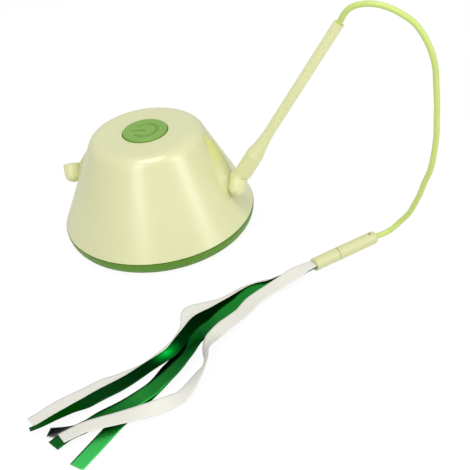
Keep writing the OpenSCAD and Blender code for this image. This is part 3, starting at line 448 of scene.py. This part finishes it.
def leaf_grid(steps=6, sides=64):
    """Leaf as a soft hill on the cone that swells into the wall of the cup, ring by ring from its tip down.
    Each row is a height, the place of the crest across, the width of the front flank, how proud the crest is
    and the power that draws the flank in; a high power leaves a thin foot that covers the slot."""
    rows = smooth_line([
        [55.4, 7, 0.4, 0.1, 6], [54.8, 6.9, 1.7, 0.7, 10], [54, 7, 3.4, 1, 19], [53, 7.2, 4.8, 1.3, 17],
        [52, 7.4, 5.7, 1.6, 12], [50, 7.5, 7.2, 2.1, 7.5], [46, 6.8, 9, 2.9, 6], [43, 5.7, 10, 3.4, 6],
        [40, 4.4, 10.6, 4, 6], [37, 2.8, 11, 4.5, 6], [34.5, 1.2, 11, 4.7, 6], [32, 0, 10.4, 3.9, 6],
        [29, -1.6, 9.4, 2.5, 6], [26, -2.8, 8, 1.2, 6], [24, -3.6, 7, 0.5, 6]], steps)
    z, crest, wide, proud = (mm * rows[:, k:k + 1] for k in range(4))
    power = rows[:, 4:]
    turn = np.linspace(0, 2 * np.pi, sides, endpoint=False)[None]
    front = np.cos(turn) < 0
    across = wide * np.cos(turn) * np.where(front, 1, leaf_back_width)
    hill = proud * np.abs(np.sin(turn)) ** (power * np.where(front, 1, leaf_back_power))
    up = np.where(np.sin(turn) > 0, hill, leaf_root * np.sin(turn)) - leaf_sink
    radius = cone_foot_r + (cone_foot_z - z) * cone_slope
    around = np.arcsin(crest / radius) + across / radius
    rings = np.stack([(radius + up) * np.cos(around), (radius + up) * np.sin(around), z + 0 * around], -1)
    tip, foot = (np.repeat(rings[k].mean(axis=0)[None, None], sides, axis=1) for k in (0, -1))
    return np.concatenate([tip, rings, foot])


socket_cream = moulded("socket_cream", (221, 223, 168), 0.3, tone=0.02, skin=0.006 * mm, gloss=0.8)
# The leaf is painted yellower than the cup above 49 mm, a painted glow for light in the thin leaf; below 37
# mm it fades to a plainer cream.
leaf_cream_painted_glow = moulded("leaf_cream_painted_glow", (212, 213, 132), 0.4, tone=0.02, skin=0.006 * mm, gloss=0.4,
                     fade=((205, 207, 154), 37 * mm, 49 * mm))
for side, node_name in ((1, "wand_socket"), (-1, "spare_socket")):
    flip = np.array([side, 1, 1])
    for part, part_grid, finish in (
            ("cup", turned_grid(cup_profile(), mouth, mouth_dir), socket_cream),
            ("leaf", leaf_grid(), leaf_cream_painted_glow)):
        piece = grid_piece(node_name + "_" + part, flip * part_grid, finish, round_v=True)
        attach(piece, "head")
        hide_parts(node_name)


# Wand: one slim moulding with a collar, an elbow, a thick grip and a long taper, plugged into a socket.
# It has the colour of the head.
wand_cream = moulded("wand_cream", (224, 225, 168), 0.36, tone=0.02, skin=0.001 * mm, gloss=0.7)
dress(wand_cream, "wand")


# Cord: springy lime elastomer cord, glued into the wand's tip and into the connector.
# Its own stiffness holds the arch, and its low end lies on the floor.
wand_lean, wand_length = 33.2, 107 * mm
elbow_rise, elbow_out = 1.65 * mm, 1.3 * mm
cord_r, cord_in_wand, cord_in_connector = 1.5 * mm, 5.5 * mm, 6.5 * mm
connector_r, connector_turn = 3.5 * mm, np.radians(228.5)
connector_reach, connector_y, cord_steps = 15 * mm, -1.2 * mm, 8


def headings(line):
    """Unit direction of a line at each of its points."""
    d = np.gradient(line, axis=0)
    return d / np.linalg.norm(d, axis=1, keepdims=True)


def tube_grid(line, radius, sides=24):
    """Ring of points round each point of a line, square to its direction, with a point at both ends that
    closes it."""
    t = headings(line)
    side = np.cross([0, 1, 0], t)
    side /= np.linalg.norm(side, axis=1, keepdims=True)
    over = np.cross(t, side)
    turn = np.linspace(0, 2 * np.pi, sides, endpoint=False)[None, :, None]
    rings = line[:, None] + radius * (np.cos(turn) * side[:, None] + np.sin(turn) * over[:, None])
    first, last = (np.repeat(line[k][None, None], sides, axis=1) for k in (0, -1))
    return np.concatenate([first, rings, last])


def lean_dir(degrees):
    """Direction in the plane of the wand, leaning outwards from the vertical."""
    return np.array([np.sin(np.radians(degrees)), 0, np.cos(np.radians(degrees))])


wand_dir = lean_dir(wand_lean)
elbow = mouth + elbow_rise * mouth_dir + elbow_out * lean_dir(wand_lean + 90)
wand_tip = elbow + wand_length * wand_dir
connector_end = np.array([wand_tip[0] + connector_reach, connector_y, connector_r])
connector_out = np.array([np.cos(connector_turn), np.sin(connector_turn), 0])
cord_points = mm * np.array([
    [115.5, -0.5, 130.5], [119, -1, 133.5], [123.5, -1.5, 135], [128, -2, 135.5], [133, -2.5, 135],
    [138, -3, 133.5], [143, -3.5, 131], [147.5, -4, 128], [151, -4.5, 124], [154, -5, 119],
    [156.5, -5.5, 113], [158, -5.5, 106], [158.5, -5.5, 97], [159, -5.5, 88], [159, -5.5, 80],
    [159, -5.5, 72], [158.5, -5.5, 64.5], [157.5, -5.5, 57], [156, -4.5, 49.5], [153, -2.5, 41],
    [150.5, 0, 32.5], [147.5, 2.5, 24.5], [144, 4.5, 16.5], [139.5, 5, 10.5], [135, 3.5, 6], [131, 1.5, 4]])
cord_line = smooth_line(np.concatenate([
    [wand_tip - cord_in_wand * wand_dir, wand_tip], cord_points,
    [connector_end, connector_end + cord_in_connector * connector_out]]), cord_steps)
cord_lime = moulded("cord_lime", (196, 215, 118), 0.36, tone=0.02, skin=0.001 * mm)
cord = grid_piece("elastic_cord", tube_grid(cord_line, cord_r), cord_lime, round_v=True)
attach(cord, "wand_arm")
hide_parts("cord")


# Connector: two turned halves that plug together; the upper is glued to the cord, the lower clamps ribbons.
# Both have the colour of the head, and the lower one's shoulder stands back so that a narrow seam shows.
upper_half_len, seam_width, seam_reach = 25 * mm, 0.3 * mm, 0.2 * mm
connector_cream = moulded("connector_cream", (206, 208, 156), 0.42, tone=0.02, skin=0.001 * mm, gloss=0.4)
dress(connector_cream, "connector_upper", "connector_lower")
lower_half = node_copy("connector_low_half", "connector_lower")
spots = mesh_values(lower_half.data.vertices, "co")
on_shoulder = np.abs((spots - connector_end) @ connector_out - upper_half_len) < seam_reach
spots[on_shoulder] += seam_width * connector_out
lower_half.data.vertices.foreach_set("co", spots.astype(np.float32).reshape(-1))
lower_half.data.update()
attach(lower_half, "lure")
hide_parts("connector_lower")


# Ribbons: six flat strips clamped in the connector's slot, two of off-white satin, four of green metal film.
# They leave the slot as a stack and settle on the floor in layers, one over the other.
lower_half_len = 15 * mm
lure_root = connector_end + (upper_half_len + lower_half_len) * connector_out
ribbon_width, ribbon_root_width, ribbon_thick, ribbon_in_slot = 7.5 * mm, 5.4 * mm, 0.2 * mm, 7 * mm
top_layer, layer_gather, layer_opening, ribbon_opening = 5, 0.25 * mm, 4 * mm, 15 * mm
stack_step, settled_low, settled_step, settle_run = 0.36 * mm, 0.5 * mm, 0.6 * mm, 40 * mm
wave_half, wave_start, wave_run = 1.5 * mm, 35 * mm, 100 * mm


def layer_height(layer, run):
    """Height of a layer at a distance from the connector: a tight stack that opens and sinks, with one low
    wave that all layers share."""
    stacked = connector_r + (layer - top_layer / 2) * stack_step
    settled = settled_low + layer * settled_step
    wave = wave_half * (1 - np.cos(2 * np.pi * np.clip((run - wave_start) / wave_run, 0, 1)))
    return stacked + (settled - stacked) * ease(run / settle_run) + wave


def root_run(spots):
    """Distance of points from the root of the lure, and none inside the connector."""
    out = spots[..., :2] - lure_root[:2]
    return np.where(out @ connector_out[:2] > 0, np.linalg.norm(out, axis=-1), 0)


def ribbon_grid(route, layer, across=9, steps=10):
    """Strip along a route from the root of the lure: points across its width, rolled about its middle line
    and set on its layer. A row of the route is x and y from the root, in mm, and the roll in degrees.
    A lower layer is gathered a little more at the root, so that the top one covers it."""
    in_slot = [*(-ribbon_in_slot / mm * connector_out[:2]), 0]
    rows = np.append(lure_root[:2] / mm, 0) + np.array([in_slot, [0, 0, 0], *route])
    line = smooth_line(rows, steps)
    flat = np.concatenate([line[:, :2] * mm, np.zeros((len(line), 1))], axis=1)
    t = headings(flat)
    side = np.stack([-t[:, 1], t[:, 0], 0 * t[:, 0]], -1)
    below = top_layer - layer
    gathered = ribbon_root_width - layer_gather * below
    opened = ease(root_run(flat) / (ribbon_opening + layer_opening * below))
    half = (gathered + (ribbon_width - gathered) * opened) / 2
    roll = np.radians(line[:, 2])
    v = np.linspace(1, -1, across)[None, :, None]
    spread = flat[:, None] + v * (half * np.cos(roll))[:, None, None] * side[:, None]
    lift = half[:, None] * (np.abs(np.sin(roll))[:, None] + v[..., 0] * np.sin(roll)[:, None])
    spread[..., 2] = layer_height(layer, root_run(spread)) + lift
    return spread


def satin(name, colour):
    """Woven satin: fine threads along and across the strip, soft sheen and a faint drift of tone."""
    threads, drift_scale, thread_high, darkest, lightest = (520, 26, 1), 60, 0.03 * mm, 0.9, 1.04
    material, tree, shader = new_material(name)
    uv = add(tree, "UVMap", uv_map="along")
    scale = add(tree, "Mapping", {"Scale": threads})
    thread = add(tree, "TexWave", {"Scale": 1.0, "Distortion": 0.6})
    place = add(tree, "TexCoord")
    drift = add(tree, "TexNoise", {"Scale": drift_scale})
    ramp = add(tree, "ValToRGB")
    for stop, factor in zip(ramp.color_ramp.elements, (darkest, lightest)):
        stop.color = toned(colour, factor)
    bump = add(tree, "Bump", {"Strength": 0.2, "Distance": thread_high})
    wire(tree,
         (uv.outputs["UV"], scale.inputs["Vector"]),
         (scale.outputs["Vector"], thread.inputs["Vector"]),
         (place.outputs["Object"], drift.inputs["Vector"]),
         (drift.outputs["Fac"], ramp.inputs["Fac"]),
         (ramp.outputs["Color"], shader.inputs["Base Color"]),
         (thread.outputs["Fac"], bump.inputs["Height"]),
         (bump.outputs["Normal"], shader.inputs["Normal"]))
    shader.inputs["Roughness"].default_value = 0.5
    shader.inputs["Sheen Weight"].default_value = 0.3
    shader.inputs["Sheen Roughness"].default_value = 0.4
    return material


def film(name, tones_with_painted_light, rough, glint=None):
    """Metal film: a green mirror skin, faintly creased across. Its colour is painted lighter and darker at
    given shares of the strip's length, as painted reflections and painted shade. A glint is a painted
    highlight: a soft bright spot, given by its share along and across, its two radii and its colour."""
    edge_tint, creases, crease_high = (0.3, 0.6, 0.36, 1), (60, 1.2, 1), 0.3 * mm
    material, tree, shader = new_material(name)
    shader.inputs["Metallic"].default_value = 1.0
    shader.inputs["Roughness"].default_value = rough
    shader.inputs["Specular Tint"].default_value = edge_tint
    uv = add(tree, "UVMap", uv_map="along")
    split = add(tree, "SeparateXYZ")
    ramp = add(tree, "ValToRGB")
    for k, (share, colour) in enumerate(tones_with_painted_light):
        stop = ramp.color_ramp.elements[k] if k < 2 else ramp.color_ramp.elements.new(share)
        stop.position = share
        stop.color = linear(*colour)
    scale = add(tree, "Mapping", {"Scale": creases})
    crease = add(tree, "TexNoise", {"Scale": 1.0, "Detail": 3})
    bump = add(tree, "Bump", {"Strength": 0.2, "Distance": crease_high})
    wire(tree,
         (uv.outputs["UV"], split.inputs[0]),
         (split.outputs["X"], ramp.inputs["Fac"]),
         (ramp.outputs["Color"], shader.inputs["Base Color"]),
         (uv.outputs["UV"], scale.inputs["Vector"]),
         (scale.outputs["Vector"], crease.inputs["Vector"]),
         (crease.outputs["Fac"], bump.inputs["Height"]),
         (bump.outputs["Normal"], shader.inputs["Normal"]))
    if glint:
        along, across, long_r, cross_r, colour = glint
        centre = add(tree, "Mapping", {"Location": (-along / long_r, -across / cross_r, 0),
                                       "Scale": (1 / long_r, 1 / cross_r, 0)})
        glow = add(tree, "TexGradient", gradient_type="QUADRATIC_SPHERE")
        blend = add(tree, "MixRGB", {"Color2": linear(*colour)})
        wire(tree,
             (uv.outputs["UV"], centre.inputs["Vector"]),
             (centre.outputs["Vector"], glow.inputs["Vector"]),
             (glow.outputs["Fac"], blend.inputs["Fac"]),
             (ramp.outputs["Color"], blend.inputs["Color1"]),
             (blend.outputs["Color"], shader.inputs["Base Color"]))
    return material


ribbon_white = satin("ribbon_white", (225, 223, 213))
# Each film keeps its own green, painted lighter and darker along the strip as painted reflections and shade;
# the left film also has a painted highlight.
film_left = film("film_left", [
    (0, (4, 22, 8)), (1, (10, 44, 18)), (0.3, (2, 24, 8)), (0.46, (6, 44, 16)), (0.6, (6, 40, 14)),
    (0.8, (12, 62, 22))], 0.3, glint=(0.5, 0.72, 0.075, 1.0, (0, 216, 72)))
film_middle = film("film_middle", [
    (0, (34, 128, 50)), (1, (28, 92, 40)), (0.3, (34, 122, 46)), (0.42, (28, 84, 42)), (0.5, (26, 66, 38)),
    (0.62, (30, 96, 42)), (0.76, (36, 124, 50)), (0.86, (22, 84, 32))], 0.3)
film_dark = film("film_dark", [
    (0, (6, 16, 9)), (1, (120, 124, 118)), (0.9, (10, 16, 12)), (0.94, (84, 90, 86))], 0.3)
film_bright = film("film_bright", [
    (0, (44, 150, 62)), (1, (72, 194, 98)), (0.76, (34, 128, 50)), (0.9, (58, 178, 82))], 0.34)
ribbon_routes = {
    "ribbon_green_bright": (0, film_bright, "ribbon_bright", [
        [-16.5, -17.5, 0], [-25.5, -25.5, 0], [-31.5, -37, 0], [-35.5, -47.5, 0], [-39.5, -58, 0],
        [-42.5, -68, 0], [-43.5, -77, 0], [-45.5, -86, 0], [-48.5, -96, 0], [-52.5, -106.5, 0],
        [-56.5, -116, 0], [-59.5, -124, 0], [-63, -137, 0], [-66.5, -150.5, 2]]),
    "ribbon_green_dark": (1, film_dark, "ribbon_dark", [
        [-16.5, -17.5, 0], [-25.5, -25, 0], [-32.5, -36.5, 0], [-37.5, -46.5, 0], [-42.5, -57, 0],
        [-45, -66.5, 0], [-45.5, -76, 0], [-46, -84, 5], [-48, -90, 3], [-49.5, -96, 2],
        [-51.5, -101, 2], [-54.5, -105.5, 1], [-60.5, -113.5, 0], [-67.5, -121.5, 0],
        [-71.5, -127.5, 0], [-75.5, -132, 1], [-80.5, -134.5, 3], [-87, -136.5, 18]]),
    "ribbon_white_back": (2, ribbon_white, "ribbon_white", [
        [-16.5, -16, 1], [-22, -19, 2], [-30, -25, 1], [-37.5, -36, 1], [-44.5, -43, -4],
        [-50, -47.5, -6], [-52, -51, -4], [-49, -60.5, 0], [-49, -70, 1], [-51.5, -78, 1],
        [-57.5, -89, 1], [-63.5, -95, 1], [-70, -100, 0], [-76, -104, 0], [-81.5, -110.5, 0],
        [-86.5, -116, 0], [-91.5, -122.5, 0], [-95, -128.5, 2], [-98, -133, 2]]),
    "ribbon_green_left": (3, film_left, "ribbon_green", [
        [-16.5, -17.5, 1], [-26.5, -24, 3], [-34, -36, 0], [-39.5, -45.5, 0], [-45, -55, -3],
        [-47, -65, 2], [-48, -70.5, 2], [-49.5, -78.5, 4], [-52.5, -84, 5], [-57, -90, 4],
        [-62.5, -97.5, 1], [-67.5, -104, -3], [-73, -110, -2], [-78, -116.5, 1], [-82.5, -122.5, 15],
        [-87, -128.5, 22], [-91.5, -135, 29], [-95, -138.5, 31]]),
    "ribbon_green_middle": (4, film_middle, "ribbon_green", [
        [-17, -20.5, 0], [-24.5, -25.5, -7], [-27.5, -30, -7], [-30, -37, -5], [-33.5, -46, -5],
        [-36.5, -55, 0], [-39.5, -62, 0], [-41, -68.5, 9], [-40.5, -76.5, 25], [-41, -82, 20],
        [-43, -88, 10], [-45.5, -94.5, 5], [-48.5, -100, 2], [-52, -107, -7], [-58.5, -115.5, -3],
        [-65.5, -123.5, -2], [-72.5, -131.5, 1], [-77, -137.5, 6], [-80.5, -144, 5]]),
    "ribbon_white_front": (5, ribbon_white, "ribbon_white", [
        [-6, -8, -12], [-13, -18, -6], [-20, -28.5, -3], [-23.5, -35.5, -3], [-25.5, -44, 0],
        [-28, -51, -2], [-31, -58.5, -3], [-33, -66.5, 4], [-32.5, -73, 25], [-31.5, -78.5, 50],
        [-30.5, -82, 64], [-29.5, -86.5, 60], [-30, -91, 44], [-31.5, -98, 24], [-33.5, -104, 8],
        [-38, -110, -10], [-44, -115, -16], [-52, -119.5, -8], [-61, -124.5, 0], [-70, -130.5, 5],
        [-74, -134.5, 7], [-78.5, -140, 10]]),
}
for node_name, (layer, finish, slot_name, route) in ribbon_routes.items():
    strip_grid = ribbon_grid(route, layer)
    strip = grid_piece(node_name.replace("ribbon_", "strip_"), strip_grid, finish, merge=False)
    wall = strip.modifiers.new("thickness", "SOLIDIFY")
    wall.thickness = ribbon_thick
    wall.offset = 0
    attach(strip, "lure")
    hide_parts(node_name)
